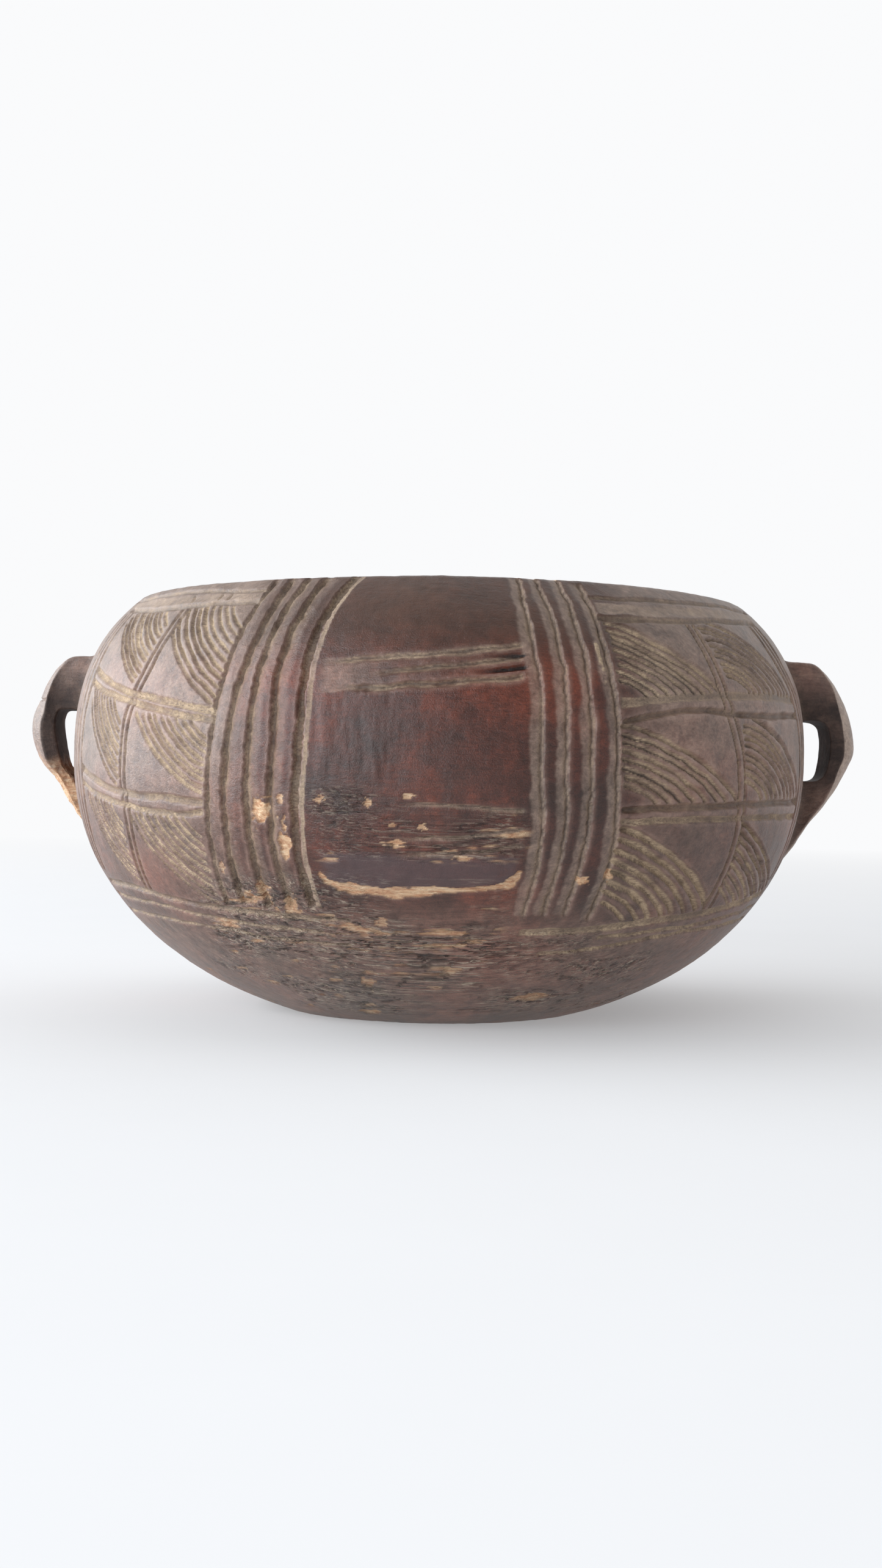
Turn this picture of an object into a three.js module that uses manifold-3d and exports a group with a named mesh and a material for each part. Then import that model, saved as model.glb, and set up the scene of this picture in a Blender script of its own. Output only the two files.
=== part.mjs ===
// Carved wooden bowl with two pierced side handles.
// Millimetres, +Z up, standing on z = 0 with the bowl's axis on the Z axis.
// The front faces -Y and the handles stand on the +X and -X sides.
import * as THREE from "three";
import { mergeVertices } from "three/addons/utils/BufferGeometryUtils.js";
import Module from "manifold-3d";

// ---- Driving dimensions -------------------------------------------------
const HEIGHT = 171; // foot to rim
const RIM_RADIUS = 128; // outer edge of the flat rim
const BELLY_RADIUS = 155.2; // widest part of the wall
const BELLY_HEIGHT = 105; // how high the widest part sits
const FOOT_RADIUS = 64; // flat that the bowl stands on
const SHOULDER_POWER = 2.6; // 2 is an ellipse, more is squarer
const UNDERSIDE_POWER = 2.1;

const RIM_WIDTH = 12; // width of the flat rim
const HOLLOW_RADIUS = 141; // widest part of the hollow
const HOLLOW_HEIGHT = 108; // how high the hollow is widest
const FLOOR_THICKNESS = 18; // wood under the middle of the hollow
const HOLLOW_POWER = 2.3;

const SEGMENTS = 72; // flats round the axis
const WALL_STEPS = 10; // rings on each curved stretch of the wall

const HANDLE_REACH = 178.5; // axis to the outermost point of a handle
const HANDLE_TOP = 150; // level top of each handle
const HANDLE_HALF_DEPTH = 13; // half of a handle's front-to-back size
const OUTER_FACE_CROWN = 6.5; // how far the outer face swells between its edges
const SLOT_TOP = 124.5;
const SLOT_BOTTOM = 99.5;
const SLOT_REACH = 166.5; // axis to the inner face of the grip
const SLOT_UPPER_CORNER = 4.5; // how far the slot's two outer corners are rounded
const SLOT_LOWER_CORNER = 2.5;
const GRIP_STRAIGHT = 4; // half of the grip's straight stretch inside the slot
const TOP_LENGTH = 160; // axis to the end of a handle's level top
const OUTER_BOW = 3; // how the outer face bends in above and below its apex
const OUTER_BOW_HEIGHT = 9;
const TAIL_REACH = 152.2; // axis to the tail, where the outer face meets the wall
const TAIL_SLOPE = 9; // how far the tail drops from there into the wall
const ROOT_RADIUS = 142.2; // where a handle's roots end, inside the wall
const TAIL_DEPTH_SHARE = 0.45; // depth of the tail's tip, as a share of the full depth
const TAIL_TIP_DROP = 15; // tailHeight to that tip
const SPLIT_GAP = 0.3; // between a handle's root and the wall
const DEPTH_STEPS = 8; // slices through a handle, front to back
const CURVE_STEPS = 10; // points on each curved stretch of a handle's outline

// ---- The bowl's wall ----------------------------------------------------

// Radius of a superelliptic wall: `widest` at height `middle`, and `edgeRadius` at `edge`.
function swellRadius(z, { widest, middle, edge, edgeRadius, power }) {
  const shrink = 1 - (edgeRadius / widest) ** power;
  const fall = Math.min(Math.abs((z - middle) / (edge - middle)), 1);
  return widest * (1 - shrink * fall ** power) ** (1 / power);
}

const shoulder = {
  widest: BELLY_RADIUS,
  middle: BELLY_HEIGHT,
  edge: HEIGHT,
  edgeRadius: RIM_RADIUS,
  power: SHOULDER_POWER,
};
const underside = {
  widest: BELLY_RADIUS,
  middle: BELLY_HEIGHT,
  edge: 0,
  edgeRadius: FOOT_RADIUS,
  power: UNDERSIDE_POWER,
};
const hollowTop = {
  widest: HOLLOW_RADIUS,
  middle: HOLLOW_HEIGHT,
  edge: HEIGHT,
  edgeRadius: RIM_RADIUS - RIM_WIDTH,
  power: SHOULDER_POWER,
};
const hollowFloor = {
  widest: HOLLOW_RADIUS,
  middle: HOLLOW_HEIGHT,
  edge: FLOOR_THICKNESS,
  edgeRadius: 0,
  power: HOLLOW_POWER,
};

// Points from the stretch's middle to its edge, closer together where the wall turns in.
function swellPoints(stretch) {
  const points = [];
  for (let step = 0; step <= WALL_STEPS; step += 1) {
    const fall = Math.sin((step / WALL_STEPS) * (Math.PI / 2));
    const z = stretch.middle + (stretch.edge - stretch.middle) * fall;
    points.push(new THREE.Vector2(swellRadius(z, stretch), z));
  }
  return points;
}

// Turns a profile of (radius, height) points round the Z axis.
function turned(profile) {
  const geometry = new THREE.LatheGeometry(profile, SEGMENTS);
  return geometry.rotateX(Math.PI / 2);
}

function outerProfile() {
  const rising = swellPoints(underside).reverse();
  const closing = swellPoints(shoulder).slice(1);
  return [...rising, ...closing];
}

function bowlBodyGeometry() {
  const descending = swellPoints(hollowTop).reverse();
  const floor = swellPoints(hollowFloor).slice(1);
  return turned([new THREE.Vector2(0, 0), ...outerProfile(), ...descending, ...floor]);
}

// The space that the bowl and its hollow fill, grown by the gap at a handle's root.
function bowlEnvelopeGeometry() {
  const grown = outerProfile().map((point) => new THREE.Vector2(point.x + SPLIT_GAP, point.y));
  return turned([new THREE.Vector2(0, 0), ...grown, new THREE.Vector2(0, HEIGHT)]);
}

// ---- The handles --------------------------------------------------------

// Side view of a right-hand handle, x outward and y up, with its slot as a hole.
function handleOutline({ apexHeight, tailHeight }) {
  const bowReach = HANDLE_REACH - OUTER_BOW;
  const outline = new THREE.Shape();
  outline.moveTo(ROOT_RADIUS, HANDLE_TOP);
  outline.lineTo(TOP_LENGTH, HANDLE_TOP);
  outline.quadraticCurveTo(bowReach, HANDLE_TOP - OUTER_BOW_HEIGHT, HANDLE_REACH, apexHeight);
  outline.quadraticCurveTo(bowReach, apexHeight - OUTER_BOW_HEIGHT, TAIL_REACH, tailHeight);
  outline.lineTo(ROOT_RADIUS, tailHeight - TAIL_SLOPE);
  outline.closePath();
  outline.holes.push(slotOutline());
  return outline;
}

// The slot, open towards the wall so that it runs on into it.
function slotOutline() {
  const middle = (SLOT_TOP + SLOT_BOTTOM) / 2;
  const wallEnd = ROOT_RADIUS + 2;
  const slot = new THREE.Path();
  slot.moveTo(wallEnd, SLOT_BOTTOM);
  slot.lineTo(SLOT_REACH - SLOT_LOWER_CORNER, SLOT_BOTTOM);
  slot.quadraticCurveTo(SLOT_REACH, middle - GRIP_STRAIGHT, SLOT_REACH, middle + GRIP_STRAIGHT);
  slot.quadraticCurveTo(SLOT_REACH, SLOT_TOP, SLOT_REACH - SLOT_UPPER_CORNER, SLOT_TOP);
  slot.lineTo(wallEnd, SLOT_TOP);
  slot.closePath();
  return slot;
}

// How much of its full depth and crown a handle has at height z: all of it along
// the grip, less towards the corner at the top and the tail at the bottom.
function handleFullness(z, tailHeight) {
  const tail = THREE.MathUtils.smoothstep(z, tailHeight - TAIL_TIP_DROP, SLOT_BOTTOM);
  const top = 1 - THREE.MathUtils.smoothstep(z, SLOT_TOP, HANDLE_TOP);
  return { depth: TAIL_DEPTH_SHARE + (1 - TAIL_DEPTH_SHARE) * tail, crown: tail * top };
}

function rightHandleGeometry(shape) {
  const depth = 2 * HANDLE_HALF_DEPTH;
  const geometry = new THREE.ExtrudeGeometry(handleOutline(shape), {
    depth,
    steps: DEPTH_STEPS,
    curveSegments: CURVE_STEPS,
    bevelEnabled: false,
  });
  geometry.translate(0, 0, -HANDLE_HALF_DEPTH);
  geometry.rotateX(Math.PI / 2);
  const position = geometry.getAttribute("position");
  for (let index = 0; index < position.count; index += 1) {
    const point = new THREE.Vector3().fromBufferAttribute(position, index);
    const fullness = handleFullness(point.z, shape.tailHeight);
    const fromMiddle = Math.abs(point.y) / HANDLE_HALF_DEPTH;
    const onOuterFace = point.x > SLOT_REACH;
    if (onOuterFace) {
      point.x -= OUTER_FACE_CROWN * fullness.crown * fromMiddle ** 2;
    }
    point.y *= fullness.depth;
    position.setXYZ(index, point.x, point.y, point.z);
  }
  return geometry;
}

// ---- Cutting a handle back to the wall ------------------------------------
const manifold = await Module();
manifold.setup();

function toSolid(geometry) {
  const bare = geometry.clone();
  bare.deleteAttribute("normal");
  bare.deleteAttribute("uv");
  const merged = mergeVertices(bare);
  const mesh = new manifold.Mesh({
    numProp: 3,
    vertProperties: new Float32Array(merged.getAttribute("position").array),
    triVerts: new Uint32Array(merged.index.array),
  });
  return new manifold.Manifold(mesh);
}

function toGeometry(solid) {
  const mesh = solid.getMesh();
  const geometry = new THREE.BufferGeometry();
  geometry.setAttribute("position", new THREE.BufferAttribute(mesh.vertProperties, 3));
  geometry.setIndex(new THREE.BufferAttribute(mesh.triVerts, 1));
  geometry.computeVertexNormals();
  return geometry;
}

const bowlEnvelope = toSolid(bowlEnvelopeGeometry());

function handleMesh(name, shape, turn) {
  const geometry = rightHandleGeometry(shape).rotateZ(turn);
  const trimmed = toGeometry(toSolid(geometry).subtract(bowlEnvelope));
  const wood = new THREE.MeshStandardMaterial({ color: 0x4a332b, roughness: 0.6, metalness: 0 });
  const mesh = new THREE.Mesh(trimmed, wood);
  mesh.name = name;
  return mesh;
}

function bowlBodyMesh() {
  const wood = new THREE.MeshStandardMaterial({ color: 0x6b4c40, roughness: 0.5, metalness: 0 });
  const mesh = new THREE.Mesh(bowlBodyGeometry(), wood);
  mesh.name = "bowl_body";
  return mesh;
}

// ---- The bowl -----------------------------------------------------------
const bowl = new THREE.Group();
bowl.add(bowlBodyMesh());
bowl.add(handleMesh("right_handle", { apexHeight: 112, tailHeight: 70 }, 0));
bowl.add(handleMesh("left_handle", { apexHeight: 116, tailHeight: 76 }, Math.PI));

export default bowl;
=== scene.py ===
"""The looks of the carved wooden bowl: its carved wall, worn handles, patina and studio.

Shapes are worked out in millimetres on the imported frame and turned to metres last.
An azimuth is in degrees round the bowl's axis: 0 faces the camera (-Y), 90 is +X.
"""
import math
from types import SimpleNamespace

import bpy
import numpy as np
from mathutils import Euler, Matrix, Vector


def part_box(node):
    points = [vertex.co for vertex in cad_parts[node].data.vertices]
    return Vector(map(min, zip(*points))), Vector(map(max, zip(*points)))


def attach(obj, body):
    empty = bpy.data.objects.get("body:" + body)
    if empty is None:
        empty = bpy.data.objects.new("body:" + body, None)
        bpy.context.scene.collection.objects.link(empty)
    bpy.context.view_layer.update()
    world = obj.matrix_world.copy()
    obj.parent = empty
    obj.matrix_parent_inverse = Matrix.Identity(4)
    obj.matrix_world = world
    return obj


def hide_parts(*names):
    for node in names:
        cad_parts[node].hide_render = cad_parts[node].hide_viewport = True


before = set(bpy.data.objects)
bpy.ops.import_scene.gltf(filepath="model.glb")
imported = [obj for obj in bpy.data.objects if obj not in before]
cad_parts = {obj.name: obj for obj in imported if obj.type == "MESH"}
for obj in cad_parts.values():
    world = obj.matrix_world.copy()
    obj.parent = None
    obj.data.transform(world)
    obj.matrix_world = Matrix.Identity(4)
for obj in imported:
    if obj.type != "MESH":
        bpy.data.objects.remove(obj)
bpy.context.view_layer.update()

MM = 0.001

# ---- The bowl's form, as the CAD has it, in millimetres --------------------
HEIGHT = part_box("bowl_body")[1].z / MM
BELLY_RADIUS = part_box("bowl_body")[1].x / MM
BELLY_HEIGHT = 105
RIM_RADIUS = 128
RIM_WIDTH = 12
FOOT_RADIUS = 64
HOLLOW_RADIUS = 141
HOLLOW_HEIGHT = 108
FLOOR_THICKNESS = 18
SHOULDER_POWER = 2.6
UNDERSIDE_POWER = 2.1
HOLLOW_POWER = 2.3

COLUMNS = 2000  # vertices round the bowl
WALL_STEP = 0.5  # between rings on the carved wall
UNDERSIDE_STEP = 1.2
PLAIN_STEP = 3.2  # on the foot and in the hollow
CARVING_BOTTOM = 30  # the finely divided wall starts here
PROFILE_STEP = 0.25  # between points when the profile is rounded
PAST_EDGE = 6  # how far past the rim and inside the foot's edge the finer rings go
AXIS_GAP = 2  # the first and last rings' distance from the axis
EDGE_ROUNDING = 3.0  # how far the rim's and foot's edges are rubbed round
CARVER_SEED = 20
MOST_DUST = 1.4


# ---- Small helpers ----------------------------------------------------------
def smoothstep(low, high, value):
    share = np.clip((value - low) / (high - low), 0, 1)
    return share * share * (3 - 2 * share)


def lattice(ix, iy, iz, seed):
    """A repeatable value from 0 to 1 at each whole-number point."""
    mixed = ix * 374761393 + iy * 668265263 + iz * 1274126177 + seed * 974634777
    mixed = (mixed ^ (mixed >> 13)) * 1103515245
    mixed = (mixed ^ (mixed >> 17)) * 69069
    return ((mixed ^ (mixed >> 11)) & 0xFFFFFF) / 0xFFFFFF


def noise(points, cell, seed):
    """Smooth noise from -1 to 1. cell is its grain in mm, one number or one for each axis."""
    scaled = points / np.asarray(cell, float)
    corner = np.floor(scaled).astype(np.int64)
    part = scaled - corner
    ease = part * part * (3 - 2 * part)
    total = np.zeros(points.shape[:-1])
    for dx in (0, 1):
        for dy in (0, 1):
            for dz in (0, 1):
                weight = (
                    np.abs(1 - dx - ease[..., 0])
                    * np.abs(1 - dy - ease[..., 1])
                    * np.abs(1 - dz - ease[..., 2])
                )
                value = lattice(
                    corner[..., 0] + dx, corner[..., 1] + dy, corner[..., 2] + dz, seed
                )
                total += weight * value
    return total * 2 - 1


def rough_noise(points, cell, seed, octaves=3):
    """Noise with finer and finer grain added, from about -1 to 1."""
    total = np.zeros(points.shape[:-1])
    size = np.asarray(cell, float)
    strength = 1.0
    for octave in range(octaves):
        total += strength * noise(points, size, seed + octave)
        size = size / 2.1
        strength *= 0.5
    return total / 1.6


def through(points, places):
    """Points of a smooth curve that passes through all the given ones, at places 0 to 1."""
    points = np.asarray(points, float)
    ends = np.vstack([2 * points[0] - points[1], points, 2 * points[-1] - points[-2]])
    position = np.clip(places, 0, 1) * (len(points) - 1)
    first = np.minimum(position.astype(int), len(points) - 2)
    t = (position - first)[:, None]
    a, b, c, d = (ends[first + k] for k in range(4))
    return 0.5 * (
        2 * b + (c - a) * t + (2 * a - 5 * b + 4 * c - d) * t**2 + (3 * b - a - 3 * c + d) * t**3
    )


def swell_radius(z, widest, middle, edge, edge_radius, power):
    """Radius of a superelliptic wall: widest at height middle, edge_radius at height edge."""
    shrink = 1 - (edge_radius / widest) ** power
    fall = np.clip(np.abs((z - middle) / (edge - middle)), 0, 1)
    return widest * np.maximum(1 - shrink * fall**power, 0) ** (1 / power)


def outer_radius(z):
    shoulder = swell_radius(z, BELLY_RADIUS, BELLY_HEIGHT, HEIGHT, RIM_RADIUS, SHOULDER_POWER)
    underside = swell_radius(z, BELLY_RADIUS, BELLY_HEIGHT, 0, FOOT_RADIUS, UNDERSIDE_POWER)
    return np.where(z > BELLY_HEIGHT, shoulder, underside)


def hollow_radius(z):
    top = swell_radius(
        z, HOLLOW_RADIUS, HOLLOW_HEIGHT, HEIGHT, RIM_RADIUS - RIM_WIDTH, SHOULDER_POWER
    )
    floor = swell_radius(z, HOLLOW_RADIUS, HOLLOW_HEIGHT, FLOOR_THICKNESS, 0, HOLLOW_POWER)
    return np.where(z > HOLLOW_HEIGHT, top, floor)


def on_wall(azimuth, z):
    """The points of the plain outer wall at azimuths in degrees and heights in mm."""
    angle = np.radians(azimuth)
    radius = outer_radius(z)
    return np.stack([radius * np.sin(angle), -radius * np.cos(angle), z + 0 * angle], -1)


def length_along(points):
    """The length of a line up to each of its points."""
    return np.r_[0, np.cumsum(np.linalg.norm(np.diff(points, axis=0), axis=1))]


def sampled(table, lengths, places):
    """The rows of a table, given at certain lengths, at other places along it."""
    return np.stack([np.interp(places, lengths, column) for column in table.T], 1)


# ---- The profile, from the middle of the foot to the middle of the hollow's floor ----
def evenly(points, step):
    """The same line with a point every step."""
    lengths = length_along(points)
    return sampled(points, lengths, np.arange(0, lengths[-1], step))


def eased_heights(low, high, count=160):
    """Heights from low to high, closer together near both."""
    return low + (high - low) * (1 - np.cos(np.linspace(0, math.pi, count))) / 2


def bowl_profile():
    """Rows of radius, height, outward radius, outward height, length so far."""
    rising = eased_heights(0, HEIGHT)
    falling = eased_heights(FLOOR_THICKNESS, HEIGHT)[::-1]
    line = np.vstack(
        [
            [[0, 0]],
            np.stack([outer_radius(rising), rising], 1),
            np.stack([hollow_radius(falling), falling], 1),
        ]
    )
    fine = evenly(line, PROFILE_STEP)
    reach = int(EDGE_ROUNDING / PROFILE_STEP / 2)
    mirrored = [[-1, 1]]
    padded = np.vstack([fine[reach:0:-1] * mirrored, fine, fine[-2 : -reach - 2 : -1] * mirrored])
    window = np.ones(2 * reach + 1) / (2 * reach + 1)
    soft = np.stack([np.convolve(column, window, "valid") for column in padded.T], 1)
    tangent = np.gradient(soft, axis=0)
    tangent /= np.hypot(*tangent.T)[:, None]
    return np.column_stack([soft, tangent[:, 1], -tangent[:, 0], length_along(soft)])


def profile_rows(profile, start, end, step):
    """Rows of the profile between two lengths, about step apart, both ends included."""
    count = max(int(round((end - start) / step)), 1)
    return sampled(profile, profile[:, 4], np.linspace(start, end, count + 1))


class Wall:
    """The bowl's surface as a grid of rings and columns, with what has been done to it."""

    def __init__(self, rows):
        self.azimuth = -180 + 360 * np.arange(COLUMNS) / COLUMNS
        angle = np.radians(self.azimuth)
        out = np.stack([np.sin(angle), -np.cos(angle)], 1)
        self.points = np.empty((len(rows), COLUMNS, 3))
        self.normals = np.empty_like(self.points)
        self.points[..., :2] = rows[:, None, None, 0] * out
        self.points[..., 2] = rows[:, None, 1]
        self.normals[..., :2] = rows[:, None, None, 2] * out
        self.normals[..., 2] = rows[:, None, 3]
        # heights of the outside; what lies past the rim counts as far above
        self.z = np.where(np.arange(len(rows)) > np.argmax(rows[:, 1]) + 2, 1e4, rows[:, 1])
        self.cut = np.zeros(self.points.shape[:2])  # mm taken off
        self.dust = 0 * self.cut  # pale dust packed in the grooves
        self.grime = 0 * self.cut  # dark dirt and painted shade in the deep ones
        self.haze_and_light = 0 * self.cut  # a thin pale film: dust, partly a painted sheen and painted light
        self.bare = 0 * self.cut  # wood without its dark skin
        self.fray = 0 * self.cut  # raised grey fibres
        self.stain = 0 * self.cut  # a darker, purplish skin

    def window(self, azimuth_low, azimuth_high, z_low, z_high):
        """Rows and columns, as index arrays, that cover a patch; azimuths may pass 180."""
        rows = np.nonzero((self.z >= z_low) & (self.z <= z_high))[0]
        first = math.floor((azimuth_low + 180) / 360 * COLUMNS)
        last = math.ceil((azimuth_high + 180) / 360 * COLUMNS)
        return rows, np.arange(first, last + 1) % COLUMNS

    def add(self, mark, place, values):
        """Puts a mark on the wall, where it is stronger than what is there already."""
        field = getattr(self, mark)
        field[place] = np.maximum(field[place], values)


# ---- Cutting tools ------------------------------------------------------------
def smooth_path(points, step=1.5):
    """A curve through a few (azimuth, height) points, with a point about every step mm."""
    count = 12 * (len(points) - 1) + 1
    curve = through(points, np.linspace(0, 1, count))
    length = length_along(on_wall(curve[:, 0], curve[:, 1]))
    at = np.linspace(0, length[-1], max(int(length[-1] / step), 3) + 1)
    return sampled(curve, length, at), length[-1]


def unsteady(rng, count, size, every):
    """A slow random wander of count values, about size either way, turning every few values."""
    knots = rng.normal(0, size, max(int(count / every), 2) + 2)
    return np.interp(np.linspace(0, len(knots) - 1, count), np.arange(len(knots)), knots)


def offsets_from_path(wall, path, reach):
    """The grid near a path: rows, columns, mm to its right (minus to its left), share along."""
    degrees = np.degrees(reach / RIM_RADIUS)
    low = path.min(0) - [degrees, reach]
    high = path.max(0) + [degrees, reach]
    rows, columns = wall.window(low[0], high[0], low[1], high[1])
    nearest = np.full((len(rows), len(columns)), 1e3)
    offset = np.full_like(nearest, 1e3)
    along = np.zeros_like(nearest)
    places = on_wall(path[:, 0], path[:, 1])
    first = math.floor((low[0] + 180) / 360 * COLUMNS)
    for k in range(len(path) - 1):
        pair = path[k : k + 2]
        near = (wall.z[rows] >= pair[:, 1].min() - reach) & (
            wall.z[rows] <= pair[:, 1].max() + reach
        )
        near = np.nonzero(near)[0]
        if not len(near):
            continue
        r0, r1 = near[0], near[-1] + 1
        c0 = math.floor((pair[:, 0].min() - degrees + 180) / 360 * COLUMNS) - first
        c1 = math.ceil((pair[:, 0].max() + degrees + 180) / 360 * COLUMNS) - first + 1
        c0, c1 = max(c0, 0), min(c1, len(columns))
        patch = wall.points[np.ix_(rows[r0:r1], columns[c0:c1])]
        start, step = places[k], places[k + 1] - places[k]
        outward = start * [1, 1, 0]
        right = np.cross(outward, step)
        apart = patch - start
        share = np.clip(apart @ step / (step @ step + 1e-9), 0, 1)
        gap = np.linalg.norm(apart - share[..., None] * step, axis=-1)
        closer = gap < nearest[r0:r1, c0:c1]
        along[r0:r1, c0:c1][closer] = (k + share[closer]) / (len(path) - 1)
        offset[r0:r1, c0:c1][closer] = (gap * np.where(apart @ right < 0, -1, 1))[closer]
        nearest[r0:r1, c0:c1][closer] = gap[closer]
    return rows, columns, offset, along


# The section of a cut: how deep it is, 0 to 1, at u half widths to the right of its line.
def vee(u):
    return np.clip(1 - np.abs(u), 0, 1)


def gouge(u):
    return np.clip(1 - u * u, 0, 1) ** 0.8


def leaning(u):
    """Steep on the left, easy on the right."""
    return np.where(u < 0, np.clip(1 + u / 0.45, 0, 1), np.clip(1 - u, 0, 1)) ** 0.9


def ditch(u):
    """Flat-bottomed with steep sides."""
    return np.clip((1 - np.abs(u)) / 0.45, 0, 1)


def gutter(u):
    """A narrow deep cut with a steep left side and a long shallow bank to its right."""
    steep = np.clip(1 + u / 0.17, 0, 1)
    deep = np.clip(1 - u / 0.24, 0, 1)
    bank = np.clip(1 - u, 0, 1) ** 1.25
    return np.where(u < 0, steep, 0.4 * deep + 0.6 * bank)


def mirrored(shape):
    return lambda u: shape(-u)


def carve(
    wall, points, rng, half_width, depth,
    shape=gouge, dust=1.0, grime=0.0, film_and_light=0.0, wander=0.22, taper=(2.0, 2.0), chatter=0.0,
):
    """Cuts one groove along a few (azimuth, height) points, by a slightly unsteady hand."""
    path, length = smooth_path(points)
    count = len(path)
    path[:, 0] += unsteady(rng, count, np.degrees(wander / BELLY_RADIUS), 5)
    path[:, 1] += unsteady(rng, count, wander, 5)
    depths = 1 + unsteady(rng, count, 0.16, 3)
    widths = 1 + unsteady(rng, count, 0.1, 4)
    dusts = np.clip(1 + unsteady(rng, count, 0.3, 3), 0.2, 1.4)
    rows, columns, offset, along = offsets_from_path(wall, path, half_width * 1.25)
    if not len(rows):
        return
    knots = np.linspace(0, 1, count)
    width_here = half_width * np.interp(along, knots, widths)
    place = np.ix_(rows, columns)
    jag = chatter * noise(wall.points[place], (1.7, 1.7, 1.5), 61) if chatter else 0.0
    mm_along = along * length
    ends = smoothstep(-0.4, taper[0], mm_along) * smoothstep(-0.4, taper[1], length - mm_along)
    profile = shape((offset + jag) / width_here)
    cut = depth * np.interp(along, knots, depths) * ends * profile
    wall.add("cut", place, cut)
    # painted shade: the deepest part of the cut is darkened where shade falls, along with the dirt there
    dirt_and_shade = grime * smoothstep(0.6, 0.92, profile) * ends
    filled = smoothstep(0.2, 0.6, profile) * ends * np.interp(along, knots, dusts)
    wall.add("dust", place, dust * filled)
    wall.dust[place] *= 1 - 0.85 * dirt_and_shade
    # a pale film over the cut and its bank: dust, partly a painted sheen
    film_and_light_here = film_and_light * ends * smoothstep(0, 0.15, profile)
    wall.add("haze_and_light", place, film_and_light_here)
    wall.add("grime", place, dirt_and_shade)


def fan(wall, cell, facing, rng):
    """Nested arcs about one corner of a four-cornered cell."""
    corners = np.asarray(cell["corners"], float) + [facing, 0]
    top_left, top_right, bottom_right, bottom_left = corners
    theta = np.linspace(0, math.pi / 2, 25)
    power = 2 / cell["power"]
    about_top_right = cell["hub"] == "top_right"
    for k in range(cell["count"]):
        size = (0.16 + 0.84 * (k + 1) / cell["count"]) * rng.uniform(0.985, 1.015)
        across = size * cell["reach"][0] * np.cos(theta) ** power
        along = size * cell["reach"][1] * np.sin(theta) ** power
        within = (across <= 1.01) & (along <= 1.01)
        across, along = across[within, None][::3], along[within, None][::3]
        u, v = (1 - across, along) if about_top_right else (across, 1 - along)
        top = top_left * (1 - u) + top_right * u
        bottom = bottom_left * (1 - u) + bottom_right * u
        carve(
            wall,
            top * (1 - v) + bottom * v,
            rng,
            half_width=cell["half_width"] * rng.uniform(0.8, 1.2),
            depth=cell["depth"] * rng.uniform(0.7, 1.2) * (0.6 + 0.4 * size),
            shape=leaning if about_top_right else mirrored(leaning),
            dust=cell["dust"] * rng.uniform(0.6, 1.1),
            grime=cell["grime"] * rng.uniform(0.3, 1.0),
            wander=0.2,
            taper=(rng.uniform(0.3, 3), rng.uniform(0.3, 3)),
            chatter=0.25,
        )


def chip(wall, azimuth, z, half_length, half_height, depth, rng, strength=1.0, tilt=0.0):
    """Breaks the dark skin off one patch and leaves torn bare wood."""
    margin = 2 * max(half_length, half_height)
    degrees = np.degrees(margin / RIM_RADIUS)
    rows, columns = wall.window(azimuth - degrees, azimuth + degrees, z - margin, z + margin)
    place = np.ix_(rows, columns)
    points = wall.points[place]
    middle = on_wall(np.array(azimuth), np.array(float(z)))
    turn = math.radians(azimuth)
    offset = points - middle
    across = offset @ [math.cos(turn), math.sin(turn), 0]
    up = offset[..., 2]
    turned = across * math.cos(tilt) + up * math.sin(tilt)
    risen = up * math.cos(tilt) - across * math.sin(tilt)
    seed = int(rng.integers(1, 10000))
    tear = np.array([half_length, half_length, 0.45 * half_height])
    ragged = rough_noise(points, tear, seed) + 0.6 * noise(points, 0.5 * tear, seed + 4)
    distance = np.hypot(turned / half_length, risen / half_height) + 0.75 * ragged
    mask = 1 - smoothstep(0.68, 0.82, distance)
    fibres = 0.75 + 0.4 * rough_noise(points, (7, 7, 1.5), seed + 7)
    wall.cut[place] += depth * mask * fibres
    wall.add("bare", place, mask * strength)


def worn_streaks(wall, azimuths, heights, share, depth, seed, bare, fray):
    """Torn fibres over a whole region, running level with the wood's grain."""
    rows, columns = wall.window(azimuths[0], azimuths[1], heights[0], heights[1])
    place = np.ix_(rows, columns)
    points = wall.points[place]
    across = np.linspace(-1, 1, len(columns))[None, :]
    middle, half = sum(heights) / 2, (heights[1] - heights[0]) / 2
    level = ((wall.z[rows] - middle) / half)[:, None]
    inside = (1 - smoothstep(0.6, 1, np.abs(across))) * (1 - smoothstep(0.6, 1, np.abs(level)))
    grain = rough_noise(points, (13, 13, 1.9), seed)
    drift = noise(points, (34, 34, 13), seed + 3)
    torn = smoothstep(0.0, 0.2, grain + 0.45 * drift - (1 - share)) * smoothstep(0, 0.4, inside)
    split = np.abs(rough_noise(points, (21, 21, 2.6), seed + 9))
    crack = (1 - smoothstep(0.02, 0.07, split)) * inside * smoothstep(-0.3, 0.3, drift)
    wall.cut[place] += depth * torn + 0.3 * depth * inside * np.clip(grain, 0, 1) + 0.45 * crack
    # painted shade in the cracks, along with the dirt there
    wall.add("grime", place, 0.8 * crack)
    wall.add("bare", place, torn * bare)
    frayed = fray * inside * smoothstep(-0.4, 0.5, drift + 0.5 * grain)
    wall.add("fray", place, frayed)


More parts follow.
